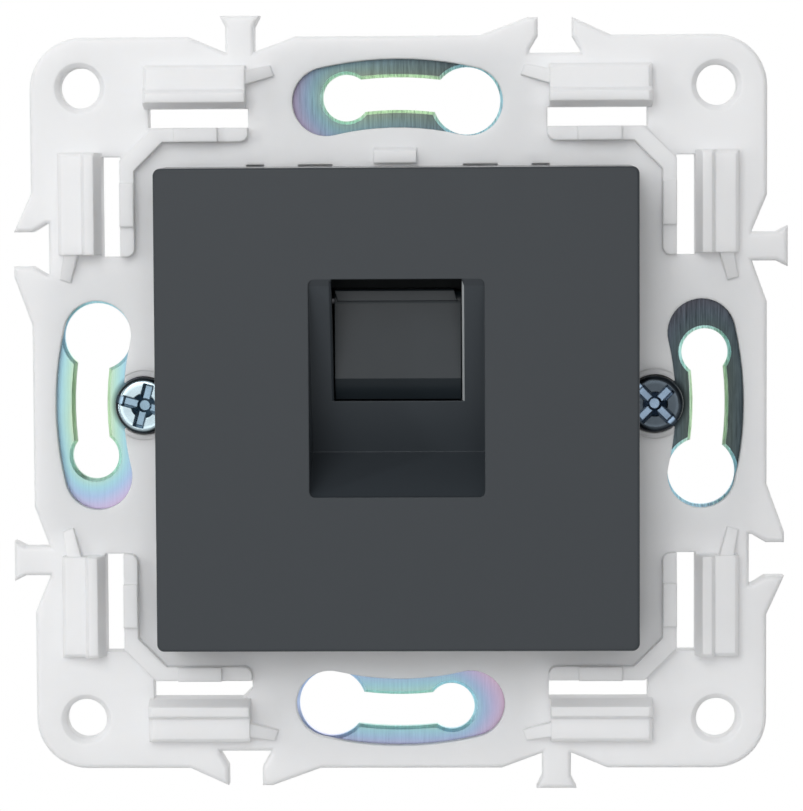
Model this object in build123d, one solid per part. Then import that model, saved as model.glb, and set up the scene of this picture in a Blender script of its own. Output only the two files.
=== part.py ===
from build123d import *

import math
import os

# Flush wall outlet for a data plug: white support frame, steel plate, dark cover with a shuttered port.
# Seen from the front, +X is right and +Z is up. The front faces -Y and the wall plane is y = 0.
# The origin is the centre of the four screw keyholes, on the wall plane. All sizes are millimetres.

# Screw circle of the wall box and the keyholes on it
SCREW_CIRCLE_R = 30.0
KEY_SLOT_WIDTH = 3.15
KEY_LARGE_R = 3.25
KEY_LARGE_ANGLE = 12.8
KEY_SMALL_R = 2.25
KEY_SMALL_ANGLE = 9.5
KEY_EDGE_R = 0.3
WINDOW_MARGIN = 0.05
WINDOW_MARGIN_ANGLE = 0.4
WINDOW_HALF_WIDTH = KEY_LARGE_R + WINDOW_MARGIN
WINDOW_ANGLE = KEY_LARGE_ANGLE + WINDOW_MARGIN_ANGLE

# Body of the holder tray, on which the frame's opening and the cover depend
HOLDER_BODY = 37.6
HOLDER_CORNER_R = 1.0
HOLDER_WALL = 1.6
HOLDER_REAR = 9.0
HOLDER_FLOOR = 1.6
HOLDER_FIT = 0.4
FLANGE_LAP = 1.8
HOLDER_FLANGE_THICK = 2.0
FRAME_OPENING = HOLDER_BODY + 2 * HOLDER_FIT
HOLDER_FLANGE = FRAME_OPENING + 2 * FLANGE_LAP

# Cover over the flange
COVER_FRONT = 11.2
COVER_WALL = 1.6
COVER_FIT = 0.2
COVER_DRAFT = 1.5
COVER_FACE_THICK = 1.8
COVER_CORNER_R = 0.9
COVER_EDGE_R = 0.25
COVER_SIDE = HOLDER_FLANGE + 2 * (COVER_FIT + COVER_WALL)

# Ridge round the cover, slots and clip blocks outside it
RIDGE_GAP = 2.6
RIDGE_WIDTH = 1.35
RIDGE_CUT = 2.75
RIDGE_HEIGHT = 1.0
RIDGE_END_R = 0.8
STOP_NEAR = 17.3
STOP_FAR = 21.5
STOP_HEIGHT = 0.5
SLOT_WIDTH = 1.85
SLOT_NEAR = 14.4
SLOT_FAR = 24.0
SLOT_WEB = 1.0
WEB_QUARTER = 2
RIDGE_INNER = COVER_SIDE / 2 + RIDGE_GAP
SLOT_INNER = RIDGE_INNER + RIDGE_WIDTH
SLOT_OUTER = SLOT_INNER + SLOT_WIDTH
BLOCK_WIDTH = 4.1
BLOCK_HEIGHT = 1.5
BLOCK_STEP = 0.35
BLOCK_RIB_SET = 1.0
BLOCK_RIB_WIDTH = 0.9
BLOCK_RIB_HEIGHT = 2.3
BLOCK_INSET = 0.2
BLOCK_OVERRUN = 0.4
TAIL_LENGTH = 2.7
TAIL_HEIGHT = 1.3
TAIL_TIP_HEIGHT = 0.25
BLOCK_RIB = SLOT_OUTER + BLOCK_RIB_SET
BLOCK_OUTER = SLOT_OUTER + BLOCK_WIDTH

# Support frame
FRAME_MARGIN = 2.25
FRAME_THICK = 2.2
FRAME_CORNER_R = 5.0
FRAME_EDGE_R = 0.45
CORNER_HOLE_INSET = 4.85
CORNER_HOLE_R = 1.95
CORNER_HOLE_RIM = 0.5
FRAME_SIDE = 2 * (SCREW_CIRCLE_R + KEY_LARGE_R + FRAME_MARGIN)

# Dovetails that join neighbouring frames
DOVETAIL_OFFSET = 15.15
DOVETAIL_NECK = 2.8
DOVETAIL_HEAD = 3.9
DOVETAIL_REACH = 2.0
DOVETAIL_HEAD_DEPTH = 1.1
DOVETAIL_DIP = 1.45
DOVETAIL_FIT = 0.5
DIP_RUN_LONG = 4.2
DIP_RUN_SHORT = 3.8
HORN_REACH = 1.7
HORN_TIP = 1.0
HORN_RUN_LONG = 4.95
HORN_RUN_SHORT = 3.95

# Marks moulded in the frame along the top and bottom of the cover
TAB_WIDTH = 4.1
TAB_LEFT = 2.3
TAB_INSET = 0.6
TAB_DEPTH = 1.5
TAB_HEIGHT = 0.7
POCKET_WIDE = 3.3
POCKET_WIDE_AT = 7.95
POCKET_NARROW = 1.7
POCKET_NARROW_AT = 13.75
POCKET_LENGTH = 1.6
POCKET_DEPTH = 0.9
POCKET_INSET = 0.4

# Steel plate
PLATE_THICK = 1.0
PLATE_RIM = 1.6
PLATE_MARGIN = 0.3
PLATE_WING_INSET = 1.8
PLATE_CORE_INSET = 1.45
PLATE_CORNER_R = 1.5
PLATE_CLEARANCE = 0.15
PLATE_REACH = FRAME_SIDE / 2 - PLATE_RIM
PLATE_WING = SLOT_NEAR - PLATE_WING_INSET
PLATE_CORE = SLOT_INNER - PLATE_CORE_INSET
PLATE_OPENING = FRAME_OPENING + 2 * PLATE_MARGIN
STAKE_INSET = 2.9
STAKE_R = 0.9
STAKE_RIM = 0.6
STAKE_HEAD_DEPTH = 0.5
STAKE_OFFSET = PLATE_CORE - STAKE_INSET

# Claw screws, nuts and claws
CLAW_PIVOT_SET = 2.1
CLAW_PIVOT_Y = 2.2
CLAW_PIVOT_X = FRAME_OPENING / 2 + CLAW_PIVOT_SET
SCREW_SET = 3.4
CLAW_SCREW_X = CLAW_PIVOT_X + SCREW_SET
SCREW_HEAD_R = 2.75
SCREW_HEAD_HEIGHT = 2.0
SCREW_HEAD_EDGE = 0.6
SCREW_SHANK_R = 1.45
SCREW_TIP = 0.5
SCREW_HOLE_FIT = 0.15
SCREW_WELL_FIT = 0.6
RECESS_SPAN = 4.3
RECESS_ARM = 1.05
RECESS_DEPTH = 1.1
RECESS_CORE_R = 1.2
RECESS_CORE_FLOOR_R = 0.5
RECESS_CORE_DEPTH = 1.5
RECESS_TAPER = 10
DRIVER_SLOT = 0.8
DRIVER_SLOT_DEPTH = 0.5
NUT_REACH = 3.4
NUT_THICK = 2.4
NUT_HALF_HEIGHT = 3.8
NUT_CORNER = 0.8
NUT_GAP = 0.3
THREAD_CLEARANCE = 0.05
CLAW_EAR_R = 1.7
CLAW_PIN_R = 0.75
RIVET_RIM = 0.45
RIVET_HEIGHT = 0.4
CLAW_SHEET = 1.0
CLAW_HALF_HEIGHT = 4.6
CLAW_FOOT_NEAR = (1.0, 11.5)
CLAW_FOOT_FAR = (6.7, 13.98)
CLAW_ELBOW = (3.0, 8.6)
CLAW_LIP = 1.2
CLAW_LIP_SET = 0.5
CLAW_HEEL = 0.6
CLAW_FORK_HALF = 1.75
CLAW_FORK_END = 5.2
TOOTH_COUNT = 4
TOOTH_PITCH = 2.1
TOOTH_DEPTH = 0.9
TOOTH_HALF = 1.0
LUG_CLEARANCE = 0.3
LUG_HALF_WIDTH = 1.4
CLAW_NUT_GAP = 0.1

# The cover stops short of the screw heads
HEAD_GAP = 0.2
COVER_REAR = PLATE_THICK + SCREW_HEAD_HEIGHT + HEAD_GAP

# Port in the cover
PORT_WIDTH = 16.55
PORT_TOP = 12.35
PORT_BOTTOM = -8.2
PORT_CREASE = -4.5
PORT_CORNER_R = 0.6
PORT_WALL = 1.4
WINDOW_BEVEL = 0.2

# Flap and its chamber
FLAP_WIDTH = 12.1
FLAP_FRONT = 5.2
FLAP_THICK = 1.3
FLAP_BOTTOM = 0.65
FLAP_BEVEL = 2.05
FLAP_FOOT = 0.1
FLAP_TOP_DROP = 2.15
FLAP_BARREL_R = 0.95
FLAP_BARREL_PROUD = 0.05
FLAP_LIP_OUT = 0.4
FLAP_LIP_DROP = 0.15
FLAP_LIP_HEIGHT = 1.2
FLAP_LIP_EDGE = 0.15
FLAP_LIP_TAPER = 0.35
FLAP_SPRING_GAP = 2.6
FLAP_SPRING_ROOM = 0.05
FLAP_AXIS_Y = FLAP_BARREL_R - FLAP_BARREL_PROUD - FLAP_FRONT
FLAP_AXIS_Z = PORT_TOP - FLAP_TOP_DROP
PIN_R = 0.5
PIN_CLEARANCE = 0.05
WINDOW_SIDE_GAP = 0.1
WINDOW_FOOT_GAP = 0.1
WINDOW_WIDTH = FLAP_WIDTH + 2 * WINDOW_SIDE_GAP
WINDOW_BOTTOM = FLAP_BOTTOM - WINDOW_FOOT_GAP
CHAMBER_SIDE_GAP = 0.3
CHAMBER_FOOT_GAP = 0.35
CHAMBER_TOP_GAP = 0.05
CHAMBER_WALL = 1.2
CHAMBER_WIDTH = FLAP_WIDTH + 2 * CHAMBER_SIDE_GAP
CHAMBER_BOTTOM = FLAP_BOTTOM - CHAMBER_FOOT_GAP
CHAMBER_TOP = PORT_TOP - CHAMBER_TOP_GAP
CHAMBER_FLANGE = 4.0
HINGE_BAR_SET = 0.2
HINGE_BAR_GAP = 0.2
PEG_X = 5.0
PEG_R = 0.85
PEG_RISE = 2.0
PEG_END = 7.2
SPRING_WIRE = 0.25
SPRING_TURNS = 5
SPRING_SPACE = 0.1
SPRING_LEG = 5.5
SPRING_ANCHOR = FLAP_BARREL_R - SPRING_WIRE

# Guides, hooks and sockets of the holder, and the legs of the cover
GUIDE_REAR = 20.0
GUIDE_HALF_HEIGHT = 6.0
HOOK_WIDTH = 8.0
HOOK_LAP = 0.7
HOOK_LAND = 0.4
HOOK_RUN = 2.4
LEG_INSET = 3.2
LEG_SIDE = 2.6
LEG_END = 3.0
LEG_CLEARANCE = 0.1
LEG_OFFSET = HOLDER_BODY / 2 - LEG_INSET
SOCKET_WALL = 1.2
SOCKET_FRONT = 1.0
SCREW_OVERRUN = 2.0
SCREW_END = GUIDE_REAR + SCREW_OVERRUN

# Jack
JACK_WIDTH = 14.5
JACK_BOTTOM = -1.5
JACK_TOP = 13.5
JACK_FRONT = 6.2
JACK_LENGTH = 12.8
JACK_CLEARANCE = 0.1
JACK_MIDDLE = (JACK_BOTTOM + JACK_TOP) / 2
JACK_REAR = JACK_FRONT + JACK_LENGTH
CHAMBER_GAP = 0.3
CHAMBER_REAR = JACK_FRONT - CHAMBER_GAP
PLUG_WIDTH = 11.9
PLUG_BOTTOM = 2.0
PLUG_TOP = 8.9
PLUG_DEPTH = 12.0
LATCH_WIDTH = 6.2
LATCH_BOTTOM = 0.5
LATCH_DEPTH = 8.0
CATCH_REACH = 0.9
CATCH_LAND = 0.4
CATCH_RUN = 2.6
CATCH_ROOT = 0.5
CATCH_INSET = 1.5
CONTACT_COUNT = 8
CONTACT_PITCH = 1.016
CONTACT_WIRE = 0.42
CONTACT_BEND = 3.4
CONTACT_NOSE = 0.5
CONTACT_DIP = 2.6
CONTACT_RUN = 5.2
CONTACT_TAIL = 1.0
INSERT_MARGIN = 2.1
INSERT_WIDTH = (CONTACT_COUNT - 1) * CONTACT_PITCH + INSERT_MARGIN
INSERT_SLOT_FRONT = 2.2
INSERT_SET = 6.2
INSERT_RISE = 0.4
INSERT_HEIGHT = 2.1
INSERT_FRONT = JACK_FRONT + INSERT_SET
INSERT_BOTTOM = PLUG_TOP + INSERT_RISE
INSERT_TOP = INSERT_BOTTOM + INSERT_HEIGHT

# Board, terminal towers and caps
TOWER_INNER = 2.6
TOWER_OUTER = 7.6
TOWER_DEPTH = 8.0
TERMINAL_PITCH = 3.8
TERMINALS_PER_SIDE = 4
TOWER_END = 1.0
TOWER_HALF = TERMINALS_PER_SIDE * TERMINAL_PITCH / 2 + TOWER_END
TOWER_BOTTOM = JACK_MIDDLE - TOWER_HALF
TOWER_TOP = JACK_MIDDLE + TOWER_HALF
BOARD_THICK = 1.6
BOARD_RIM = 0.6
BOARD_END = 0.4
BOARD_WIDTH = 2 * (TOWER_OUTER + BOARD_RIM)
BOARD_BOTTOM = TOWER_BOTTOM - BOARD_END
BOARD_TOP = TOWER_TOP + BOARD_END
BOARD_REAR = JACK_REAR + BOARD_THICK
TOWER_REAR = BOARD_REAR + TOWER_DEPTH
WIRE_SLOT = 1.0
WIRE_SLOT_DEPTH = 5.4
BLADE_X = (TOWER_INNER + TOWER_OUTER) / 2
BLADE_THICK = 0.4
BLADE_WIDTH = 2.4
BLADE_SHORT = 1.0
BLADE_SLIT = 0.4
BLADE_SLIT_DEPTH = 4.6
BLADE_MOUTH = 1.2
BLADE_MOUTH_DEPTH = 1.8
BLADE_CLEARANCE = 0.05
CAP_WALL = 0.9
CAP_OVERLAP = 4.4
CAP_CLEARANCE = 0.1
CAP_EDGE = 0.5
CAP_NOTCH = 1.4
CAP_NOTCH_DEPTH = 2.0

SEAT_CLEARANCE = 0.1
CUT = 1.0


def rect(x0, x1, z0, z1):
    """Rectangle in the front view, from corner to corner."""
    return Pos((x0 + x1) / 2, (z0 + z1) / 2) * Rectangle(x1 - x0, z1 - z0)


def square(half):
    """Square in the front view, centred on the origin."""
    return Rectangle(2 * half, 2 * half)


def outline(*points):
    """Filled polygon through the points."""
    return make_face(Polyline(*points, close=True))


def slab(sketch, y_front, y_back):
    """Front-view sketch made solid between two depths."""
    return extrude(Plane.XZ.offset(-y_back) * sketch, amount=y_back - y_front)


def block(x0, x1, y0, y1, z0, z1):
    """Box between two corners."""
    return Pos((x0 + x1) / 2, (y0 + y1) / 2, (z0 + z1) / 2) * Box(x1 - x0, y1 - y0, z1 - z0)


def side_prism(sketch, x0, x1):
    """Side-view sketch (depth, height) made solid between two places across."""
    return extrude(Plane.YZ.offset(x0) * sketch, amount=x1 - x0)


def plan_prism(sketch, z0, z1):
    """Plan-view sketch (across, depth) made solid between two heights."""
    return extrude(Plane.XY.offset(z0) * sketch, amount=z1 - z0)


def rod(x, z, r, y0, y1):
    """Round bar or drill along the depth."""
    return slab(Pos(x, z) * Circle(r), y0, y1)


def cross_rod(y, z, r, x0, x1):
    """Round bar or drill across the part."""
    return side_prism(Pos(y, z) * Circle(r), x0, x1)


def turned(shape, quarter):
    """Copy of a solid turned clockwise in the front view by quarter turns."""
    return Rot(0, 90 * quarter, 0) * shape


def turned_flat(sketch, quarter):
    """Copy of a front-view sketch turned clockwise by quarter turns."""
    return Rot(0, 0, -90 * quarter) * sketch


def mirrored(shape):
    """Copy on the other side of the centre plane."""
    return mirror(shape, about=Plane.YZ)


def arc_slot(radius, half_width, start, end):
    """Curved slot on a circle, angles clockwise from the top."""
    middle = math.radians(90 - (start + end) / 2)
    first = math.radians(90 - start)
    last = math.radians(90 - end)
    path = ThreePointArc(
        (radius * math.cos(first), radius * math.sin(first)),
        (radius * math.cos(middle), radius * math.sin(middle)),
        (radius * math.cos(last), radius * math.sin(last)),
    )
    return SlotArc(path, 2 * half_width)


def on_circle(radius, angle, sketch):
    """Sketch placed on a circle, angle clockwise from the top."""
    turn = math.radians(90 - angle)
    return Pos(radius * math.cos(turn), radius * math.sin(turn)) * sketch


def keyhole():
    """Keyhole of the steel plate on the top side: arc slot, large end on the right."""
    shape = arc_slot(SCREW_CIRCLE_R, KEY_SLOT_WIDTH / 2, -KEY_SMALL_ANGLE, KEY_LARGE_ANGLE)
    shape += on_circle(SCREW_CIRCLE_R, KEY_LARGE_ANGLE, Circle(KEY_LARGE_R))
    shape += on_circle(SCREW_CIRCLE_R, -KEY_SMALL_ANGLE, Circle(KEY_SMALL_R))
    return shape


# Support frame

HALF = FRAME_SIDE / 2
FACE = -FRAME_THICK
EDGE_OVERLAP = 0.1


def frame_outline():
    """Outer edge of the frame with a male and a female dovetail on each side."""
    shape = RectangleRounded(FRAME_SIDE, FRAME_SIDE, FRAME_CORNER_R)
    base = HALF - DOVETAIL_DIP
    neck = DOVETAIL_NECK / 2
    head = DOVETAIL_HEAD / 2
    reach = HALF + DOVETAIL_REACH
    mouth = neck + DOVETAIL_FIT / 2
    pocket = head + DOVETAIL_FIT
    for quarter in range(4):
        left = -DOVETAIL_OFFSET
        right = DOVETAIL_OFFSET
        dip = outline((left - neck - DIP_RUN_SHORT, HALF + EDGE_OVERLAP), (left - neck - EDGE_OVERLAP, base),
                      (left + neck, base), (left + neck + DIP_RUN_LONG, HALF + EDGE_OVERLAP))
        key = outline((left - neck, base - CUT), (left - neck, reach - DOVETAIL_HEAD_DEPTH), (left - head, reach),
                      (left + head, reach), (left + neck, reach - DOVETAIL_HEAD_DEPTH), (left + neck, base - CUT))
        horns = outline((right - mouth - HORN_TIP - HORN_RUN_LONG, HALF - EDGE_OVERLAP),
                        (right - mouth - HORN_TIP, HALF + HORN_REACH), (right + mouth, HALF + HORN_REACH),
                        (right + mouth + HORN_RUN_SHORT, HALF - EDGE_OVERLAP), (right, HALF - CUT))
        mouth_cut = outline((right - mouth, HALF + HORN_REACH + CUT), (right - mouth, HALF - EDGE_OVERLAP),
                            (right - pocket, base), (right - pocket, base - DOVETAIL_FIT / 2),
                            (right + pocket, base - DOVETAIL_FIT / 2), (right + pocket, base),
                            (right + mouth, HALF - EDGE_OVERLAP), (right + mouth, HALF + HORN_REACH + CUT))
        shape -= turned_flat(dip, quarter)
        shape += turned_flat(key, quarter)
        shape += turned_flat(horns, quarter)
        shape -= turned_flat(mouth_cut, quarter)
    return shape


def clip_block(side):
    """Raised block outside a slot on the top side, with its rib and its tail towards the middle."""
    near = SLOT_NEAR + BLOCK_INSET
    far = SLOT_FAR + BLOCK_OVERRUN
    rib_in = BLOCK_RIB - BLOCK_RIB_WIDTH / 2
    rib_out = BLOCK_RIB + BLOCK_RIB_WIDTH / 2
    profile = outline(
        (FACE + CUT, SLOT_OUTER),
        (FACE - BLOCK_STEP, SLOT_OUTER),
        (FACE - BLOCK_RIB_HEIGHT, rib_in),
        (FACE - BLOCK_RIB_HEIGHT, rib_out),
        (FACE - BLOCK_HEIGHT, rib_out + BLOCK_STEP),
        (FACE - BLOCK_HEIGHT, BLOCK_OUTER - BLOCK_STEP),
        (FACE - BLOCK_HEIGHT + BLOCK_STEP, BLOCK_OUTER),
        (FACE + CUT, BLOCK_OUTER),
    )
    body = side_prism(profile, near, far)
    body = chamfer(body.faces().sort_by(Axis.X)[-1].edges().filter_by(Axis.Z), BLOCK_STEP)
    tip = near - TAIL_LENGTH
    root = near + BLOCK_INSET
    middle = (BLOCK_RIB + BLOCK_OUTER) / 2 + BLOCK_STEP
    wide = BLOCK_WIDTH / 6
    tail_plan = outline((root, middle - wide), (root, middle + wide), (tip + wide / 2, BLOCK_OUTER),
                        (tip, BLOCK_OUTER - 1.5 * wide))
    tail = slab(tail_plan, FACE - TAIL_HEIGHT, FACE + CUT)
    slope = plan_prism(
        outline((root, FACE + CUT), (root, FACE - TAIL_HEIGHT), (tip, FACE - TAIL_TIP_HEIGHT), (tip, FACE + CUT)),
        BLOCK_RIB, BLOCK_OUTER + CUT)
    body += tail & slope
    if side < 0:
        return mirrored(body)
    return body


def ridge():
    """Raised ridge inside the slots of the top right corner, with its two stops."""
    inner = RIDGE_INNER
    outer = SLOT_INNER
    cut = RIDGE_CUT
    corner = outer - cut - BLOCK_STEP
    band = outline((SLOT_NEAR, inner), (inner - cut, inner), (inner, inner - cut), (inner, SLOT_NEAR),
                   (outer, SLOT_NEAR), (outer, corner), (corner, outer), (SLOT_NEAR, outer))
    ends = [v for v in band.vertices()
            if min(v.X, v.Y) < SLOT_NEAR + EDGE_OVERLAP and max(v.X, v.Y) < inner + EDGE_OVERLAP]
    band = fillet(ends, RIDGE_END_R)
    stops = rect(STOP_NEAR, STOP_FAR, inner, outer) + rect(inner, outer, STOP_NEAR, STOP_FAR)
    body = slab(band, FACE - RIDGE_HEIGHT, FACE + CUT)
    body += slab(stops, FACE - RIDGE_HEIGHT - STOP_HEIGHT, FACE + CUT)
    return body


def top_tab():
    """Small raised tab above the middle of the cover."""
    top = RIDGE_INNER - TAB_INSET
    profile = outline((FACE + CUT, top - TAB_DEPTH), (FACE - TAB_HEIGHT, top - TAB_DEPTH),
                      (FACE - TAB_HEIGHT, top - BLOCK_STEP), (FACE, top), (FACE + CUT, top))
    return side_prism(profile, -TAB_LEFT, TAB_WIDTH - TAB_LEFT)


def front_pockets():
    """Shallow pockets in the frame above and below the cover."""
    place = COVER_SIDE / 2 - POCKET_INSET
    plan = None
    for width, middle in ((POCKET_WIDE, POCKET_WIDE_AT), (POCKET_NARROW, POCKET_NARROW_AT)):
        for x in (-middle, middle):
            for z in (-place, place):
                pocket = Pos(x, z) * Rectangle(width, POCKET_LENGTH)
                plan = pocket if plan is None else plan + pocket
    return slab(plan, FACE - CUT, FACE + POCKET_DEPTH)


def plate_outline(grow):
    """Outline of the steel plate: a core square with four wings."""
    core = square(PLATE_CORE + grow)
    wide = RectangleRounded(2 * (PLATE_REACH + grow), 2 * (PLATE_WING + grow), PLATE_CORNER_R)
    tall = RectangleRounded(2 * (PLATE_WING + grow), 2 * (PLATE_REACH + grow), PLATE_CORNER_R)
    return core + wide + tall


def frame_cuts():
    """Front view of the cuts right through the frame; one slot keeps a web across a corner."""
    shape = square(FRAME_OPENING / 2)
    slot = rect(SLOT_NEAR, SLOT_FAR, SLOT_INNER, SLOT_OUTER)
    window = arc_slot(SCREW_CIRCLE_R, WINDOW_HALF_WIDTH, -WINDOW_ANGLE, WINDOW_ANGLE)
    for quarter in range(4):
        shape += turned_flat(slot, quarter)
        shape += turned_flat(mirrored(slot), quarter)
        shape += turned_flat(window, quarter)
    web = outline((SLOT_NEAR, SLOT_OUTER), (SLOT_NEAR + SLOT_WEB, SLOT_OUTER), (SLOT_NEAR, SLOT_OUTER - SLOT_WEB))
    shape -= turned_flat(web, WEB_QUARTER)
    for side in (-1, 1):
        shape += Pos(side * CLAW_SCREW_X, 0) * Circle(SCREW_HEAD_R + SCREW_WELL_FIT)
    return shape


def corner_hole(x, z):
    """Round screw hole in a corner, with a bevelled rim."""
    cone = Cone(CORNER_HOLE_R, CORNER_HOLE_R + CORNER_HOLE_RIM, CORNER_HOLE_RIM)
    return rod(x, z, CORNER_HOLE_R, FACE - CUT, CUT) + Pos(x, FACE + CORNER_HOLE_RIM / 2, z) * Rot(90, 0, 0) * cone


def make_support_frame():
    """White frame: base plate, raised features, windows, slots and a recess for the steel plate."""
    body = slab(frame_outline(), FACE, 0)
    rim = body.faces().sort_by(Axis.Y)[0].outer_wire().edges()
    body = fillet(rim, FRAME_EDGE_R)
    for quarter in range(4):
        body += turned(clip_block(1), quarter)
        body += turned(clip_block(-1), quarter)
        body += turned(ridge(), quarter)
    body += top_tab()
    body -= slab(frame_cuts(), -COVER_FRONT, CUT)
    hole = FRAME_SIDE / 2 - CORNER_HOLE_INSET
    for x in (-hole, hole):
        for z in (-hole, hole):
            body -= corner_hole(x, z)
    body -= front_pockets()
    recess = plate_outline(PLATE_CLEARANCE) - square(FRAME_OPENING / 2 - CUT)
    body -= slab(recess, -PLATE_THICK, CUT)
    body += stakes(0.0)
    return body


def stakes(grow):
    """Four moulded stakes that hold the steel plate, or the countersunk holes for them."""
    shape = None
    for x in (-STAKE_OFFSET, STAKE_OFFSET):
        for z in (-STAKE_OFFSET, STAKE_OFFSET):
            stem = rod(x, z, STAKE_R + grow, -PLATE_THICK - grow, 0)
            head = Cone(STAKE_R + STAKE_RIM + grow, STAKE_R + grow, STAKE_HEAD_DEPTH)
            stem += Pos(x, -STAKE_HEAD_DEPTH / 2, z) * Rot(90, 0, 0) * head
            shape = stem if shape is None else shape + stem
    return shape


# Steel plate

def claw_lugs(side):
    """Two lugs bent back from the plate that carry the pin of one claw."""
    inner = CLAW_HALF_HEIGHT + LUG_CLEARANCE
    x0 = CLAW_PIVOT_X - LUG_HALF_WIDTH
    x1 = CLAW_PIVOT_X + LUG_HALF_WIDTH
    ear = Pos(CLAW_PIVOT_X, CLAW_PIVOT_Y) * Circle(LUG_HALF_WIDTH)
    plan = rect(x0, x1, -PLATE_THICK / 2, CLAW_PIVOT_Y) + ear
    pair = plan_prism(plan, inner, inner + PLATE_THICK)
    pair += plan_prism(plan, -inner - PLATE_THICK, -inner)
    hole = Pos(CLAW_PIVOT_X, CLAW_PIVOT_Y, 0) * Cylinder(CLAW_PIN_R + PIN_CLEARANCE, 4 * inner)
    pair -= hole
    return pair if side > 0 else mirrored(pair)


def rolled_keyhole():
    """Cutter for the top keyhole: the hole and its edge rolled over at the front."""
    hole = slab(keyhole(), -PLATE_THICK - CUT, CUT)
    roll = extrude(Plane.XZ.offset(PLATE_THICK) * offset(keyhole(), KEY_EDGE_R), amount=-KEY_EDGE_R, taper=45)
    return hole + roll


def make_mounting_plate():
    """Steel plate with four keyholes whose front edges are rolled by the punch."""
    body = slab(plate_outline(0) - square(PLATE_OPENING / 2), -PLATE_THICK, 0)
    for quarter in range(4):
        body -= turned(rolled_keyhole(), quarter)
    for side in (-1, 1):
        body -= rod(side * CLAW_SCREW_X, 0, SCREW_SHANK_R + SCREW_HOLE_FIT, -PLATE_THICK - CUT, CUT)
        body += claw_lugs(side)
    body -= stakes(THREAD_CLEARANCE)
    return body


# Claw screws, nuts, claws and pins

def driver_recess(top):
    """Cross recess with a wide middle and a slot for a flat driver, cut from the top of a head."""
    plane = Plane.XZ.offset(-top)
    across = extrude(plane * Rectangle(RECESS_SPAN, RECESS_ARM), amount=-RECESS_DEPTH, taper=RECESS_TAPER)
    upright = extrude(plane * Rectangle(RECESS_ARM, RECESS_SPAN), amount=-RECESS_DEPTH, taper=RECESS_TAPER)
    core = Cone(RECESS_CORE_R, RECESS_CORE_FLOOR_R, RECESS_CORE_DEPTH)
    core = Pos(0, top + RECESS_CORE_DEPTH / 2, 0) * Rot(-90, 0, 0) * core
    slot = slab(Rectangle(2 * SCREW_HEAD_R + CUT, DRIVER_SLOT), top - CUT, top + DRIVER_SLOT_DEPTH)
    return across + upright + core + slot


def make_claw_screw(side, turn):
    """Pan-head screw with a combined cross and slot recess."""
    x = side * CLAW_SCREW_X
    top = -PLATE_THICK - SCREW_HEAD_HEIGHT
    head = rod(x, 0, SCREW_HEAD_R, top, -PLATE_THICK)
    rim = head.faces().sort_by(Axis.Y)[0].edges()
    head = fillet(rim, SCREW_HEAD_EDGE)
    shank = rod(x, 0, SCREW_SHANK_R, -PLATE_THICK, SCREW_END)
    tip = shank.faces().sort_by(Axis.Y)[-1].edges()
    body = head + chamfer(tip, SCREW_TIP)
    body -= Pos(x, 0, 0) * Rot(0, turn, 0) * driver_recess(top)
    return body


def nut_front():
    """Depth of the front face of a nut with the claw folded in."""
    nx, ny = CLAW_FOOT_NEAR
    fx, fy = CLAW_FOOT_FAR
    reach = min(SCREW_SET + NUT_REACH, fx)
    touch = ny + (reach - nx) * (fy - ny) / (fx - nx)
    return CLAW_PIVOT_Y + touch + CLAW_NUT_GAP


def make_claw_nut(side):
    """Oblong nut that slides along the holder's guide wall as its screw turns."""
    inner = HOLDER_BODY / 2 + NUT_GAP
    y0 = nut_front()
    body = block(inner, CLAW_SCREW_X + NUT_REACH, y0, y0 + NUT_THICK, -NUT_HALF_HEIGHT, NUT_HALF_HEIGHT)
    body = chamfer(body.edges().filter_by(Axis.Y), NUT_CORNER)
    body -= rod(CLAW_SCREW_X, 0, SCREW_SHANK_R + THREAD_CLEARANCE, y0 - CUT, y0 + NUT_THICK + CUT)
    return body if side > 0 else mirrored(body)


def claw_teeth():
    """Cutters for the notches between the teeth at the end of a claw's foot."""
    fx, fy = CLAW_FOOT_FAR
    end = CLAW_PIVOT_X + fx + EDGE_OVERLAP
    notch = outline((TOOTH_DEPTH / 2, -TOOTH_HALF), (TOOTH_DEPTH / 2, TOOTH_HALF), (-TOOTH_DEPTH, 0))
    plan = None
    for index in range(TOOTH_COUNT):
        z = (index - (TOOTH_COUNT - 1) / 2) * TOOTH_PITCH
        tooth = Pos(end, z) * notch
        plan = tooth if plan is None else plan + tooth
    return slab(plan, CLAW_PIVOT_Y + fy - 2 * CLAW_LIP, CLAW_PIVOT_Y + fy + CUT)


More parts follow.
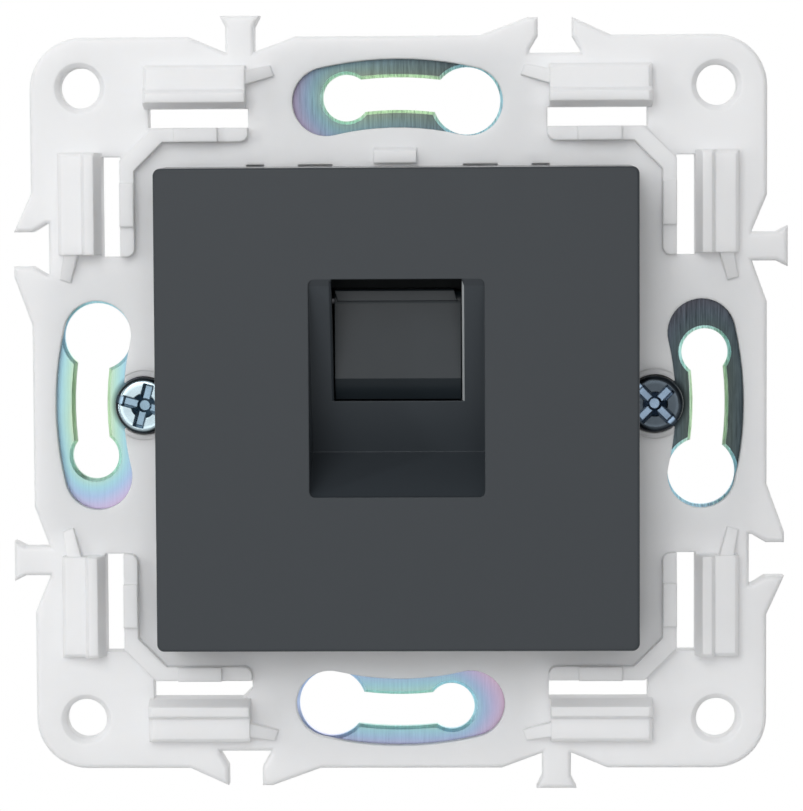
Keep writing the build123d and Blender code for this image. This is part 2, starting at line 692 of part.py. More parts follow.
def make_claw(side):
    """Folded steel claw: two cheeks on the pin and a forked foot with teeth."""
    px = CLAW_PIVOT_X
    py = CLAW_PIVOT_Y
    nx, ny = CLAW_FOOT_NEAR
    fx, fy = CLAW_FOOT_FAR
    ex, ey = CLAW_ELBOW
    ear = Pos(px, py) * Circle(CLAW_EAR_R)
    arm = outline((px - CLAW_EAR_R, py), (px + CLAW_EAR_R, py), (px + ex, py + ey),
                  (px + fx - CLAW_LIP_SET, py + fy - 1.5 * CLAW_LIP), (px + fx, py + fy - CLAW_LIP),
                  (px + fx, py + fy), (px + nx, py + ny), (px - CLAW_HEEL, py + ny - CLAW_LIP))
    cheek = ear + arm
    inner = CLAW_HALF_HEIGHT - CLAW_SHEET
    body = plan_prism(cheek, inner, CLAW_HALF_HEIGHT) + plan_prism(cheek, -CLAW_HALF_HEIGHT, -inner)
    rise = CLAW_SHEET + EDGE_OVERLAP
    foot = outline((px + nx, py + ny), (px + fx, py + fy), (px + fx, py + fy - rise), (px + nx, py + ny - rise))
    body += plan_prism(foot, -CLAW_HALF_HEIGHT, CLAW_HALF_HEIGHT)
    body -= plan_prism(rect(px - CLAW_EAR_R - CUT, px + CLAW_FORK_END, py + ny - 2 * rise, py + fy + CUT),
                       -CLAW_FORK_HALF, CLAW_FORK_HALF)
    body -= claw_teeth()
    body -= Pos(px, py, 0) * Cylinder(CLAW_PIN_R + PIN_CLEARANCE, 4 * CLAW_HALF_HEIGHT)
    return body if side > 0 else mirrored(body)


def make_claw_pin(side):
    """Riveted pin through the lugs of the plate and the cheeks of a claw."""
    half = CLAW_HALF_HEIGHT + LUG_CLEARANCE + PLATE_THICK
    body = Pos(side * CLAW_PIVOT_X, CLAW_PIVOT_Y, 0) * Cylinder(CLAW_PIN_R, 2 * half)
    for end in (-1, 1):
        rivet = Cylinder(CLAW_PIN_R + RIVET_RIM, RIVET_HEIGHT)
        body += Pos(side * CLAW_PIVOT_X, CLAW_PIVOT_Y, end * (half + RIVET_HEIGHT / 2)) * rivet
    return body


# Cover

PORT_DEPTH = math.sqrt((PORT_TOP - PORT_CREASE) * (PORT_CREASE - PORT_BOTTOM))
WALL_SLOPE = (PORT_TOP - PORT_CREASE) / PORT_DEPTH
FLOOR_SLOPE = (PORT_CREASE - PORT_BOTTOM) / PORT_DEPTH


def port_outline():
    """Side view of the port: sloping wall and floor that meet at a right angle."""
    front = -COVER_FRONT - CUT
    return outline((front, PORT_TOP + CUT * WALL_SLOPE), (-COVER_FRONT + PORT_DEPTH, PORT_CREASE),
                   (front, PORT_BOTTOM - CUT * FLOOR_SLOPE))


def port_shell():
    """Solid that wraps the port from behind."""
    return side_prism(offset(port_outline(), PORT_WALL, kind=Kind.INTERSECTION),
                      -PORT_WIDTH / 2 - PORT_WALL, PORT_WIDTH / 2 + PORT_WALL)


def window_bevels():
    """Bars set cornerwise along the side edges of the window, where it meets the sloping wall."""
    top = PORT_TOP - WINDOW_BEVEL
    middle = (top + WINDOW_BOTTOM) / 2
    lean = math.degrees(math.atan(1 / WALL_SLOPE))
    length = (top - WINDOW_BOTTOM) / math.cos(math.radians(lean))
    side = WINDOW_BEVEL * math.sqrt(2)
    bar = Rot(lean, 0, 0) * Rot(0, 0, 45) * Box(side, side, length)
    depth = -COVER_FRONT + (PORT_TOP - middle) / WALL_SLOPE
    return Pos(-WINDOW_WIDTH / 2, depth, middle) * bar + Pos(WINDOW_WIDTH / 2, depth, middle) * bar


def make_front_cover():
    """Dark cover: drafted shell, port pocket with its window, and four legs."""
    skirt = COVER_FRONT - COVER_REAR
    rear_side = COVER_SIDE + 2 * skirt * math.tan(math.radians(COVER_DRAFT))
    base = Plane.XZ.offset(COVER_REAR) * RectangleRounded(rear_side, rear_side, COVER_CORNER_R)
    body = extrude(base, amount=skirt, taper=COVER_DRAFT)
    body = fillet(body.faces().sort_by(Axis.Y)[0].edges(), COVER_EDGE_R)
    hollow = square(COVER_SIDE / 2 - COVER_WALL)
    body -= slab(hollow, -COVER_FRONT + COVER_FACE_THICK, -COVER_REAR + CUT)
    wrap = port_shell() & block(-COVER_SIDE, COVER_SIDE, -COVER_FRONT + CUT / 2, COVER_FRONT,
                                -COVER_SIDE, COVER_SIDE)
    body += wrap
    for x in (-LEG_OFFSET, LEG_OFFSET):
        for z in (-LEG_OFFSET, LEG_OFFSET):
            leg = Pos(x, z) * Rectangle(LEG_SIDE, LEG_SIDE)
            body += slab(leg, -COVER_FRONT + CUT, LEG_END)
    for x in (-PEG_X, PEG_X):
        body += rod(x, CHAMBER_TOP + CHAMBER_WALL + PEG_RISE, PEG_R, -COVER_FRONT + CUT, -PEG_END)
    mouth = Pos(0, (PORT_TOP + PORT_BOTTOM) / 2) * RectangleRounded(PORT_WIDTH, PORT_TOP - PORT_BOTTOM, PORT_CORNER_R)
    pocket = side_prism(port_outline(), -PORT_WIDTH / 2, PORT_WIDTH / 2)
    body -= pocket & slab(mouth, -COVER_FRONT - CUT, 0)
    opening = rect(-WINDOW_WIDTH / 2, WINDOW_WIDTH / 2, WINDOW_BOTTOM, PORT_TOP)
    body -= slab(opening, -COVER_FRONT - CUT, 0)
    body -= window_bevels()
    return body


# Flap and its chamber

def make_shutter_housing():
    """Chamber behind the sloping wall, with a flange staked to the cover."""
    half = CHAMBER_WIDTH / 2
    wall = CHAMBER_WALL
    front = -COVER_FRONT + COVER_FACE_THICK
    body = block(-half - wall, half + wall, front, CHAMBER_REAR, CHAMBER_BOTTOM - wall, CHAMBER_TOP + wall)
    body += block(-half - wall, half + wall, front, front + wall, CHAMBER_TOP, CHAMBER_TOP + wall + CHAMBER_FLANGE)
    body -= block(-half, half, front - CUT, CHAMBER_REAR + CUT, CHAMBER_BOTTOM, CHAMBER_TOP)
    bar_bottom = FLAP_AXIS_Z + FLAP_BARREL_R + HINGE_BAR_GAP
    body += block(-half - wall, half + wall, FLAP_AXIS_Y - HINGE_BAR_SET, FLAP_AXIS_Y + FLAP_BARREL_R,
                  bar_bottom, CHAMBER_TOP + wall)
    body -= port_shell()
    for x in (-PEG_X, PEG_X):
        body -= rod(x, CHAMBER_TOP + wall + PEG_RISE, PEG_R, front - CUT, front + 2 * wall)
    body -= cross_rod(FLAP_AXIS_Y, FLAP_AXIS_Z, PIN_R, -half - wall - CUT, half + wall + CUT)
    return body


def make_shutter_pin():
    """Steel pin pressed into the side walls of the chamber."""
    half = CHAMBER_WIDTH / 2 + CHAMBER_WALL
    return cross_rod(FLAP_AXIS_Y, FLAP_AXIS_Z, PIN_R, -half, half)


def flap_profile():
    """Side view of the flap: flat face, barrel round the pin and a lower edge bevelled to the back."""
    front = -FLAP_FRONT
    back = front + FLAP_THICK
    blade = outline((back, FLAP_BOTTOM), (back, FLAP_AXIS_Z), (front, FLAP_AXIS_Z),
                    (front, FLAP_BOTTOM + FLAP_BEVEL), (back - FLAP_FOOT, FLAP_BOTTOM))
    return blade + Pos(FLAP_AXIS_Y, FLAP_AXIS_Z) * Circle(FLAP_BARREL_R)


def flap_lip():
    """Lip along the top of the flap, drawn in at its ends."""
    low = FLAP_AXIS_Z - FLAP_LIP_DROP
    high = low + FLAP_LIP_HEIGHT
    out = -FLAP_FRONT - FLAP_LIP_OUT
    half = FLAP_WIDTH / 2
    profile = outline((-FLAP_FRONT + FLAP_LIP_OUT, low), (out, low + EDGE_OVERLAP), (out, high - FLAP_LIP_EDGE),
                      (out + FLAP_LIP_EDGE, high), (FLAP_AXIS_Y, high), (FLAP_AXIS_Y, low))
    front = outline((-half + FLAP_LIP_TAPER, low), (half - FLAP_LIP_TAPER, low),
                    (half - 2 * FLAP_LIP_TAPER, high), (-half, high))
    return side_prism(profile, -half, half) & slab(front, out - CUT, 0)


def make_shutter_flap():
    """Flap that closes the port, with room in its barrel for the spring and a bore for the pin."""
    half = FLAP_WIDTH / 2
    body = side_prism(flap_profile(), -half, half) + flap_lip()
    gap = FLAP_SPRING_GAP / 2
    room = spring_radius() + SPRING_WIRE / 2 + FLAP_SPRING_ROOM
    body -= cross_rod(FLAP_AXIS_Y, FLAP_AXIS_Z, room, -gap, gap)
    body -= block(-gap, gap, FLAP_AXIS_Y, 0, FLAP_AXIS_Z - room, FLAP_AXIS_Z + 2 * FLAP_BARREL_R)
    body -= cross_rod(FLAP_AXIS_Y, FLAP_AXIS_Z, PIN_R + PIN_CLEARANCE, -half - CUT, half + CUT)
    return body


def spring_radius():
    """Middle radius of the spring's coil."""
    return PIN_R + PIN_CLEARANCE + SPRING_WIRE / 2


def make_shutter_spring():
    """Torsion spring round the pin, one leg down the back of the flap and a short leg up."""
    mean_r = spring_radius()
    pitch = SPRING_WIRE + SPRING_SPACE
    length = SPRING_TURNS * pitch
    r = SPRING_WIRE / 2
    coil = Helix(pitch=pitch, height=length, radius=mean_r)
    wire = Plane(origin=coil @ 0, z_dir=coil % 0) * Circle(r)
    body = sweep(wire, path=coil, is_frenet=True)
    body = Pos(-length / 2, FLAP_AXIS_Y, FLAP_AXIS_Z) * Rot(0, 90, 0) * Rot(0, 0, 90) * body
    leg_y = FLAP_AXIS_Y + mean_r
    body += Pos(length / 2, leg_y, FLAP_AXIS_Z - SPRING_LEG / 2) * Cylinder(r, SPRING_LEG)
    body += Pos(-length / 2, leg_y, FLAP_AXIS_Z + SPRING_ANCHOR / 2) * Cylinder(r, SPRING_ANCHOR)
    return body


# Holder tray

def barb(start, wall, root, reach, land, run):
    """Side view of a snap hook on a wall: a flat step and a ramp behind it, rooted in the wall."""
    return outline((start, wall - root), (start, wall + reach), (start + land, wall + reach),
                   (start + run, wall), (start + run, wall - root))


def make_module_holder():
    """Tray that sits in the frame: flange, walls, rear floor with the jack opening, guides and sockets."""
    face = FACE
    outer = HOLDER_BODY / 2
    inner = outer - HOLDER_WALL
    flange = RectangleRounded(HOLDER_FLANGE, HOLDER_FLANGE, HOLDER_CORNER_R)
    body = slab(flange, face - HOLDER_FLANGE_THICK, face)
    body += slab(RectangleRounded(HOLDER_BODY, HOLDER_BODY, HOLDER_CORNER_R), face - CUT, HOLDER_REAR)
    body -= slab(square(inner), -COVER_FRONT, HOLDER_REAR - HOLDER_FLOOR)
    for side in (-1, 1):
        wall = block(inner, outer, HOLDER_REAR - CUT, GUIDE_REAR, -GUIDE_HALF_HEIGHT, GUIDE_HALF_HEIGHT)
        body += wall if side > 0 else mirrored(wall)
        profile = barb(SEAT_CLEARANCE / 2, outer, CUT / 2, HOLDER_FIT + HOOK_LAP, HOOK_LAND, HOOK_RUN)
        hook = side_prism(profile, -HOOK_WIDTH / 2, HOOK_WIDTH / 2)
        body += hook if side > 0 else mirror(hook, about=Plane.XY)
    socket = LEG_SIDE / 2 + LEG_CLEARANCE
    wall = socket + SOCKET_WALL
    for x in (-LEG_OFFSET, LEG_OFFSET):
        for z in (-LEG_OFFSET, LEG_OFFSET):
            tube = Pos(x, z) * square(wall) & square(outer - CUT / 2)
            body += slab(tube, -SOCKET_FRONT, HOLDER_REAR - CUT)
            body -= slab(Pos(x, z) * square(socket), -COVER_FRONT, LEG_END + SEAT_CLEARANCE)
    grow = JACK_CLEARANCE
    opening = rect(-JACK_WIDTH / 2 - grow, JACK_WIDTH / 2 + grow, JACK_BOTTOM - grow, JACK_TOP + grow)
    body -= slab(opening, HOLDER_REAR - HOLDER_FLOOR - CUT, HOLDER_REAR + CUT)
    return body


# Jack

def make_jack_housing():
    """Jack body: stepped plug opening, slot for the contact insert and catches for the holder."""
    half = JACK_WIDTH / 2
    body = block(-half, half, JACK_FRONT, JACK_REAR, JACK_BOTTOM, JACK_TOP)
    plug = rect(-PLUG_WIDTH / 2, PLUG_WIDTH / 2, PLUG_BOTTOM, PLUG_TOP)
    latch = rect(-LATCH_WIDTH / 2, LATCH_WIDTH / 2, LATCH_BOTTOM, PLUG_BOTTOM + CUT)
    body -= slab(plug, JACK_FRONT - CUT, JACK_FRONT + PLUG_DEPTH)
    body -= slab(latch, JACK_FRONT - CUT, JACK_FRONT + LATCH_DEPTH)
    slot = rect(-INSERT_WIDTH / 2, INSERT_WIDTH / 2, PLUG_TOP - CUT, INSERT_TOP)
    body -= slab(slot, JACK_FRONT + INSERT_SLOT_FRONT, JACK_REAR + CUT)
    floor_front = HOLDER_REAR - HOLDER_FLOOR
    wide = half - CATCH_INSET
    body += block(-wide, wide, JACK_FRONT, floor_front, JACK_BOTTOM - CATCH_REACH, JACK_BOTTOM + CUT)
    body += block(-wide, wide, JACK_FRONT, floor_front, JACK_TOP - CUT, JACK_TOP + CATCH_REACH)
    catch_y = HOLDER_REAR + SEAT_CLEARANCE / 2
    for sign, edge in ((-1, JACK_BOTTOM), (1, JACK_TOP)):
        profile = barb(catch_y, edge, sign * CATCH_ROOT, sign * CATCH_REACH, CATCH_LAND, CATCH_RUN)
        body += side_prism(profile, -wide, wide)
    return body


def make_contact_insert():
    """Comb that holds the contact wires, pushed into the jack from the rear."""
    half = INSERT_WIDTH / 2
    body = block(-half, half, INSERT_FRONT, JACK_REAR, INSERT_BOTTOM, INSERT_TOP)
    mid = (INSERT_BOTTOM + INSERT_TOP) / 2
    r = CONTACT_WIRE / 2
    for index in range(CONTACT_COUNT):
        x = contact_place(index)
        body -= block(x - r, x + r, INSERT_FRONT - CUT, JACK_REAR + CUT, mid - r, mid + r)
    return body


def contact_place(index):
    """Place across of a contact wire."""
    return (index - (CONTACT_COUNT - 1) / 2) * CONTACT_PITCH


def make_jack_contact(index):
    """Bent contact wire from the board, over the insert and down into the plug opening."""
    mid = (INSERT_BOTTOM + INSERT_TOP) / 2
    bend = JACK_FRONT + CONTACT_BEND
    dip = PLUG_TOP - CONTACT_DIP
    path = Polyline((BOARD_REAR - CONTACT_WIRE, mid), (bend, mid), (bend - CONTACT_NOSE, mid - CONTACT_NOSE),
                    (bend + CONTACT_RUN, dip), (bend + CONTACT_RUN + CONTACT_TAIL, dip))
    strip = trace(path, CONTACT_WIRE)
    x = contact_place(index)
    return side_prism(strip, x - CONTACT_WIRE / 2, x + CONTACT_WIRE / 2)


# Board, towers, blades and caps

def terminal_place(index):
    """Height of a terminal."""
    return JACK_MIDDLE + (index - (TERMINALS_PER_SIDE - 1) / 2) * TERMINAL_PITCH


def make_circuit_board():
    """Board with holes for the contacts and the blades."""
    half = BOARD_WIDTH / 2
    body = block(-half, half, JACK_REAR, BOARD_REAR, BOARD_BOTTOM, BOARD_TOP)
    mid = (INSERT_BOTTOM + INSERT_TOP) / 2
    r = CONTACT_WIRE / 2
    for index in range(CONTACT_COUNT):
        x = contact_place(index)
        body -= block(x - r, x + r, JACK_REAR - CUT, BOARD_REAR + CUT, mid - r, mid + r)
    return body


def make_idc_block(side):
    """Terminal tower with wire slots and pockets for its blades."""
    body = block(TOWER_INNER, TOWER_OUTER, BOARD_REAR, TOWER_REAR, TOWER_BOTTOM, TOWER_TOP)
    for index in range(TERMINALS_PER_SIDE):
        z = terminal_place(index)
        body -= block(TOWER_INNER - CUT, TOWER_OUTER + CUT, TOWER_REAR - WIRE_SLOT_DEPTH, TOWER_REAR + CUT,
                      z - WIRE_SLOT / 2, z + WIRE_SLOT / 2)
        grow = BLADE_CLEARANCE
        body -= block(BLADE_X - BLADE_THICK / 2 - grow, BLADE_X + BLADE_THICK / 2 + grow,
                      BOARD_REAR - CUT, TOWER_REAR + CUT, z - BLADE_WIDTH / 2 - grow, z + BLADE_WIDTH / 2 + grow)
    return body if side > 0 else mirrored(body)


def make_idc_blade(side, index):
    """Forked blade that cuts into a wire."""
    z = terminal_place(index)
    profile = rect(BOARD_REAR, TOWER_REAR - BLADE_SHORT, z - BLADE_WIDTH / 2, z + BLADE_WIDTH / 2)
    profile -= rect(TOWER_REAR - BLADE_SLIT_DEPTH, TOWER_REAR, z - BLADE_SLIT / 2, z + BLADE_SLIT / 2)
    mouth = outline((TOWER_REAR - BLADE_MOUTH_DEPTH, z), (TOWER_REAR, z - BLADE_MOUTH),
                    (TOWER_REAR, z + BLADE_MOUTH))
    profile -= mouth
    x0 = side * BLADE_X - BLADE_THICK / 2
    return side_prism(profile, x0, x0 + BLADE_THICK)


def make_wire_cap(side):
    """Cap over a tower, with notches for the wires."""
    gap = CAP_CLEARANCE
    grow = gap + CAP_WALL
    y0 = TOWER_REAR - CAP_OVERLAP
    y1 = TOWER_REAR + gap + CAP_WALL
    body = block(TOWER_INNER - grow, TOWER_OUTER + grow, y0, y1, TOWER_BOTTOM - grow, TOWER_TOP + grow)
    rear_edges = body.faces().sort_by(Axis.Y)[-1].edges()
    body = chamfer(rear_edges, CAP_EDGE)
    body -= block(TOWER_INNER - gap, TOWER_OUTER + gap, y0 - CUT, TOWER_REAR + gap, TOWER_BOTTOM - gap, TOWER_TOP + gap)
    for index in range(TERMINALS_PER_SIDE):
        z = terminal_place(index)
        body -= block(TOWER_OUTER - CUT, TOWER_OUTER + grow + CUT, y0 - CUT, y0 + CAP_NOTCH_DEPTH,
                      z - CAP_NOTCH / 2, z + CAP_NOTCH / 2)
    return body if side > 0 else mirrored(body)


def build():
    """All pieces by name."""
    parts = {
        "support_frame": make_support_frame(),
        "mounting_plate": make_mounting_plate(),
        "front_cover": make_front_cover(),
        "shutter_housing": make_shutter_housing(),
        "shutter_pin": make_shutter_pin(),
        "shutter_flap": make_shutter_flap(),
        "shutter_spring": make_shutter_spring(),
        "module_holder": make_module_holder(),
        "jack_housing": make_jack_housing(),
        "contact_insert": make_contact_insert(),
        "circuit_board": make_circuit_board(),
    }
    for index in range(CONTACT_COUNT):
        parts[f"jack_contact_{index + 1}"] = make_jack_contact(index)
    for name, side, turn in (("left", -1, 15), ("right", 1, 45)):
        parts[f"claw_screw_{name}"] = make_claw_screw(side, turn)
        parts[f"claw_nut_{name}"] = make_claw_nut(side)
        parts[f"claw_{name}"] = make_claw(side)
        parts[f"claw_pin_{name}"] = make_claw_pin(side)
        parts[f"idc_block_{name}"] = make_idc_block(side)
        parts[f"wire_cap_{name}"] = make_wire_cap(side)
        for index in range(TERMINALS_PER_SIDE):
            number = index + 1 if side < 0 else index + 1 + TERMINALS_PER_SIDE
            parts[f"idc_blade_{number}"] = make_idc_blade(side, index)
    return parts


def main():
    """Write one file per piece."""
    os.makedirs("parts", exist_ok=True)
    for name, shape in build().items():
        export_step(shape, f"parts/{name}.step")


main()
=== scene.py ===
import math

import bmesh
import bpy
from mathutils import Matrix, Vector


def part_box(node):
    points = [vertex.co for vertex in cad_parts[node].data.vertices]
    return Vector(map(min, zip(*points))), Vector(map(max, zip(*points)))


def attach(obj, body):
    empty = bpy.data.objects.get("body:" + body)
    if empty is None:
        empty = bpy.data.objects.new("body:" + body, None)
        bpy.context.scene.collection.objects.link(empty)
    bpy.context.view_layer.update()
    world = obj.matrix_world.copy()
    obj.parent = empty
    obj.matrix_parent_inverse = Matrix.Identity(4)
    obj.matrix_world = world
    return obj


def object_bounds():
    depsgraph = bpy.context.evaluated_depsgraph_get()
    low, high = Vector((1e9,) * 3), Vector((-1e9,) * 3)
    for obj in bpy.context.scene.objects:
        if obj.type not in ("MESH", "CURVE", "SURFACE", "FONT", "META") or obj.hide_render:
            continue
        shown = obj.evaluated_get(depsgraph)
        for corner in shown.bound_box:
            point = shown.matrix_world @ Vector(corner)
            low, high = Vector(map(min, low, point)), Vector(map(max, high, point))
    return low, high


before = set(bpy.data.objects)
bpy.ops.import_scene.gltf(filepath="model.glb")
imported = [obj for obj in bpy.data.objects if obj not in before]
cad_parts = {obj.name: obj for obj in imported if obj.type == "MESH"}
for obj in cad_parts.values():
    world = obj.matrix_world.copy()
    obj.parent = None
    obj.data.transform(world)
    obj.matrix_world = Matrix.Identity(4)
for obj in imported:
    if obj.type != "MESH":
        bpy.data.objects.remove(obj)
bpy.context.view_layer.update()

# Looks of a flush wall data outlet. Everything is in metres, in the part's own frame:
# +X right and +Z up seen from the front, the cover faces -Y and the wall plane is y = 0.

MM = 0.001

# Camera, with angles in degrees
CAMERA_AZIMUTH = 1.31
CAMERA_ELEVATION = 3.65
CAMERA_ROLL = -0.295
CAMERA_DISTANCE = 0.320
CAMERA_TARGET = Vector((0.000186, 0.0, -0.00023))
CAMERA_LENS = 145.9
SENSOR = 36.0
CLIP_NEAR = 0.01
CLIP_FAR = 20.0

# Lamps, all aimed at the origin: name, place, width and height, power in watts
LAMPS = (
    ("front", (-0.06, -0.85, 0.04), (0.64, 0.64), 2.7),
    ("key", (-0.16, -0.55, 0.29), (0.34, 0.34), 1.2),
    ("fill", (0.14, -0.52, -0.20), (0.30, 0.30), 0.40),
    ("strip", (-0.50, -0.33, 0.05), (0.05, 0.5), 0.8),
    ("rear", (0.5, 0.9, 0.5), (0.9, 0.9), 1.0),
)

# Below, a range of four says: from, to, value at the first, value at the second. A noise says: scale,
# detail, roughness. A bump says: depth, strength. A stop of a ramp says: place, colour.

# World, by how far a direction points back: its light on the part, and its gloss
WORLD_LIGHT = (-0.4, 0.4, 0.41, 0.85)
WORLD_GLOSS = (-0.4, 0.4, 0.5, 1.0)

# Floor
FLOOR_DROP = 0.085
FLOOR_SIZE = 6.0
FLOOR_FADE = (0.16, 0.36, 0.0, 1.0)
FLOOR_GLOW = (0.0, 1.0, 0.40, 1.0)
FLOOR_STOPS = (
    (0.0, (0.60, 0.60, 0.60)),
    (1.0, (0.0, 0.0, 0.0)),
)

# The part of a noise's range that shows
NOISE_LOW = 0.3
NOISE_HIGH = 0.7

# Plastics: colours, then faint clouds, the grain, and dull patches that many times larger than the grain
WHITE = (0.815, 0.820, 0.830)
ANTHRACITE = (0.028, 0.034, 0.040)
SHUTTER = (0.015, 0.021, 0.026)
CHAMBER = (0.010, 0.012, 0.013)
HOLDER = (0.72, 0.73, 0.73)
JACK = (0.018, 0.018, 0.020)
TERMINAL = (0.028, 0.028, 0.031)
CAP = (0.74, 0.74, 0.72)
CLOUD_NOISE = (60.0, 4.0, 0.6)
GRAIN_DETAIL = (2.0, 0.6)
PATCH_DETAIL = (3.0, 0.5)
PATCH_FACTOR = 6
BEVEL_SAMPLES = 6

# Board: lacquer over a weave, stretched across and upright
BOARD_STOPS = (
    (0.10, (0.012, 0.085, 0.045)),
    (0.45, (0.030, 0.150, 0.080)),
)
BOARD_BUMP = (0.01 * MM, 0.5)
WEAVE_NOISE = (1.0, 1.0, 0.5)
WEAVE_ACROSS = (2600.0, 200.0, 300.0)
WEAVE_UP = (300.0, 200.0, 2600.0)

# Contacts and blades, one for each wire of the cable
WIRE_COUNT = 8

# Drawn metals: colours, then marks along the length and how far they move tone and roughness
GOLD = (0.83, 0.60, 0.24)
TIN = (0.66, 0.66, 0.64)
SPRING = (0.56, 0.56, 0.58)
PIN = (0.10, 0.10, 0.11)
DRAWN_NOISE = (1.0, 3.0, 0.6)
DRAWN_STRETCH = (6000.0, 700.0, 6000.0)
DRAWN_TONE = (0.90, 1.08)
DRAWN_SMOOTHER = 0.06
DRAWN_ROUGHER = 0.10
DRAWN_BUMP = (0.003 * MM, 0.5)

# Zinc of the claws, nuts and pins
ZINC_STOPS = (
    (0.30, (0.50, 0.57, 0.63)),
    (0.58, (0.56, 0.5985, 0.5418)),
    (0.75, (0.50, 0.57, 0.63)),
)
ZINC_CLOUD = (900.0, 3.0, 0.6)
ZINC_ROUGH = (0.28, 0.42)
ZINC_GRAIN = (4200.0, 3.0, 0.6)
ZINC_BUMP = (0.006 * MM, 0.6)
ZINC_EDGE = 0.10 * MM

# Port of the cover, whose inside gets painted light, and the painted glint on the right edge of its window
PORT_HALF = 8.4 * MM
PORT_MIDDLE = 2.1 * MM
PORT_REACH = 10.4 * MM
PORT_MOUTH = -10.9 * MM
PORT_PAINTED_LIGHT = (0.0, 1.0, 1.0, 1.25)
EDGE_PLACE = 6.25 * MM
EDGE_HALF = 0.14 * MM
EDGE_TURN = -0.4
GLINT_COLOUR = (0.34, 0.36, 0.37, 1.0)
COVER_ROUGH = (0.2, 0.9, 0.20, 0.48)

# Keyholes of the steel plate, as the colour film follows them
SCREW_CIRCLE = 30 * MM
KEY_START = 5.0 * MM
KEY_END = 6.7 * MM
KEY_HALF = 1.75 * MM

# Film: shifts in millimetres by noise and by height, then its colours by the distance from a keyhole
FILM_NOISE = (110.0, 2.0, 0.5)
FILM_WANDER = (-0.30, 0.30)
FILM_BOTTOM = (-36 * MM, -20 * MM, 1.0, -0.25)
FILM_TOP = (-20 * MM, 38 * MM, 0.0, -0.35)
FILM_REACH = (-0.4, 4.2, 0.0, 1.0)
FILM_STOPS = (
    (0.00, (0.66, 0.84, 0.62)),
    (0.12, (0.54, 0.82, 0.70)),
    (0.30, (0.45, 0.76, 0.86)),
    (0.46, (0.48, 0.65, 0.90)),
    (0.66, (0.66, 0.60, 0.86)),
    (0.86, (0.82, 0.61, 0.79)),
)

# Film: painted reflection, a level by place from bright at the lower left to dark at the upper right
SIDE_ACROSS = (-38 * MM, 38 * MM, 0.627, -0.627)
SIDE_BY_HEIGHT = (-32 * MM, -5 * MM, 0.15, 1.0)
SIDE_UPRIGHT = (-38 * MM, 38 * MM, 0.37, -0.37)
SIDE_MIDDLE = 0.55
SIDE_LOW = 0.12
SIDE_HIGH = 0.86
FILM_LEVEL = 0.52

# Film: greyer where the painted reflection is dark and the face is flat, silver far from the keyholes, and a
# painted highlight on rolled edges
FLAT_FACE = (0.80, 0.97, 0.0, 1.0)
GREY_SHARE = (SIDE_LOW, 0.45, 0.6, 0.0)
GREY_FILM = (0.60, 0.70, 0.77, 1.0)
SILVER_SHARE = (4.6, 7.5, 0.0, 0.9)
SILVER_FILM = (0.64, 0.67, 0.70, 1.0)
ROLLED_HIGHLIGHT = (0.0, 1.0, 2.0, 0.0)

# Plate: brush marks, and the shade in the wells of the claw screws
BRUSH_NOISE = (1.0, 4.0, 0.7)
BRUSH_STRETCH = (5200.0, 900.0, 260.0)
BRUSH_DEPTH = (SIDE_LOW, 0.6, 0.62, 0.14)
BRUSH_ROUGH = (0.25, 0.75, 0.26, 0.42)
BRUSH_BUMP = (0.004 * MM, 0.7)
WELL_SHADE = (2.9 * MM, 3.4 * MM, 0.30, 1.0)

# Claw screws: place, film from the pads to the recess, its level from the middle to the rim as a painted
# highlight ring and painted shade round the side, and colours, painted lighter on the left head and darker on
# the right as painted reflection
SCREW_PLACE = 24.7 * MM
SCREW_TOP = -3.0 * MM
HEAD_DEPTH = (SCREW_TOP + 0.02 * MM, SCREW_TOP + 0.35 * MM, 0.0, 1.0)
HEAD_PADS_END = 0.10
HEAD_RECESS_START = 0.45
HEAD_NOISE = (700.0, 3.0, 0.6)
HEAD_WANDER = 0.12
HEAD_ROUGH = (-HEAD_WANDER, HEAD_WANDER, 0.20, 0.32)
HEAD_GRAIN = (3600.0, 3.0, 0.6)
HEAD_BUMP = (0.004 * MM, 0.5)
HEAD_EDGE = 0.12 * MM
HEAD_REACH = (1.9 * MM, 2.6 * MM, 0.0, 1.0)
HEAD_LEVEL = 1.6
HEAD_SHEEN_AND_SHADE = (
    (0.0, (0.6, 0.6, 0.6)),
    (0.45, (1.0, 1.0, 1.0)),
    (0.65, (0.7, 0.7, 0.7)),
    (0.85, (0.08, 0.08, 0.08)),
)
# Painted light on the left head and painted shade on the right head, as copies of one zinc
LEFT_PADS_LIT = (0.27, 0.335, 0.365)
LEFT_RECESS_LIT = (0.14, 0.20, 0.25)
RIGHT_PADS_SHADED = (0.032, 0.040, 0.048)
RIGHT_RECESS_SHADED = (0.11, 0.15, 0.20)

# White rings of the frame round the claw screws, open outwards where the keyhole windows begin
RING_INNER = 2.84 * MM
RING_OUTER = 3.37 * MM
RING_FRONT = -2.195 * MM
RING_BACK = -0.98 * MM
RING_START = math.radians(50)
RING_STEPS = 72
WINDOW_INNER = 26.7 * MM

# Threads of the claw screws; the profile says: place along the screw in pitches, rise from 0 to 1
SHANK_RADIUS = 1.45 * MM
THREAD_START = 1.0 * MM
THREAD_MARGIN = 0.7 * MM
THREAD_PITCH = 0.5 * MM
THREAD_DEPTH = 0.06 * MM
THREAD_SINK = 0.012 * MM
THREAD_STEPS = 20
THREAD_PROFILE = ((-0.42, 0.0), (-0.08, 1.0), (0.08, 1.0), (0.42, 0.0))

# Sockets of a mix node for colours
MIX_FACTOR = 0
MIX_FIRST = 6
MIX_SECOND = 7
MIX_RESULT = 2


